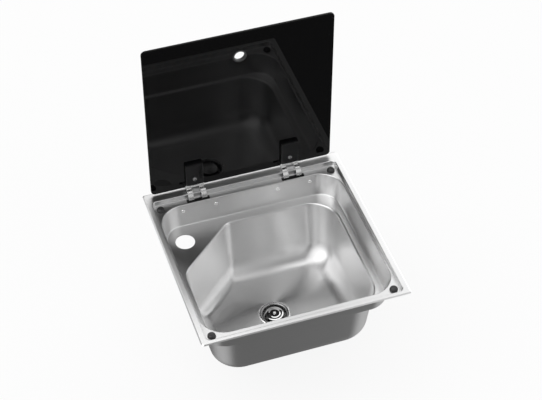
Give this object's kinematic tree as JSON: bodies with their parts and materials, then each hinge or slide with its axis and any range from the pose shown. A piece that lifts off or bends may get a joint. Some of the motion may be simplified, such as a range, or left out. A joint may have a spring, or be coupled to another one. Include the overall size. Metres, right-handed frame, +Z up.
{
  "type": "drop-in sink with glass lid",
  "caption": "Square drop-in steel sink with a stepped bowl, a tap hole in the cut-off corner and a black glass lid that swings up on rear hinges.",
  "frame": {"origin": "centre of the square rim, on the worktop plane that the rim seal rests on", "axes": "+X to the right along the front edge, +Y to the rear where the lid hinges are, +Z up"},
  "size_m": [0.42, 0.42, 0.6163],
  "materials": {
    "satin_steel": "satin pressed stainless sheet",
    "bright_steel": "bright polished steel",
    "black_glass": "opaque black toughened glass, glossy both sides",
    "black_rubber": "matt black rubber",
    "black_plastic": "glossy black moulding",
    "grey_plastic": "satin dark grey moulding",
    "waste_plastic": "matt black moulding"
  },
  "bodies": {
    "sink": {"bumper_front_left": "black_rubber", "bumper_front_right": "black_rubber", "bumper_rear_left": "black_rubber", "bumper_rear_right": "black_rubber", "hinge_bracket_left": "bright_steel", "hinge_bracket_right": "bright_steel", "hinge_pin_left": "bright_steel", "hinge_pin_right": "bright_steel", "hinge_rivet_left_a": "bright_steel", "hinge_rivet_left_b": "bright_steel", "hinge_rivet_right_a": "bright_steel", "hinge_rivet_right_b": "bright_steel", "rim_seal": "black_rubber", "sink_body": "satin_steel", "slot_insert_left": "black_plastic", "slot_insert_right": "black_plastic", "waste_body": "waste_plastic", "waste_screw": "satin_steel", "waste_seal_bottom": "black_rubber", "waste_seal_top": "black_rubber", "waste_strainer": "satin_steel"},
    "lid": {"finger_ring_inner": "grey_plastic", "finger_ring_outer": "grey_plastic", "glass_lid": "black_glass", "hinge_clamp_left": "black_plastic", "hinge_clamp_right": "black_plastic", "hinge_cover_left": "black_plastic", "hinge_cover_right": "black_plastic", "hinge_inner_screw_left": "bright_steel", "hinge_inner_screw_right": "bright_steel", "hinge_leaf_left": "bright_steel", "hinge_leaf_right": "bright_steel", "hinge_pad_inner_left": "black_rubber", "hinge_pad_inner_right": "black_rubber", "hinge_pad_outer_left": "black_rubber", "hinge_pad_outer_right": "black_rubber", "hinge_screw_left": "bright_steel", "hinge_screw_right": "bright_steel"}
  },
  "joints": [
    {"name": "lid_swing", "type": "hinge", "parent": "sink", "child": "lid", "pos_m": [0, 0.1915, -0.0115], "axis": [1, 0, 0], "range_deg": [0, 90]}
  ]
}
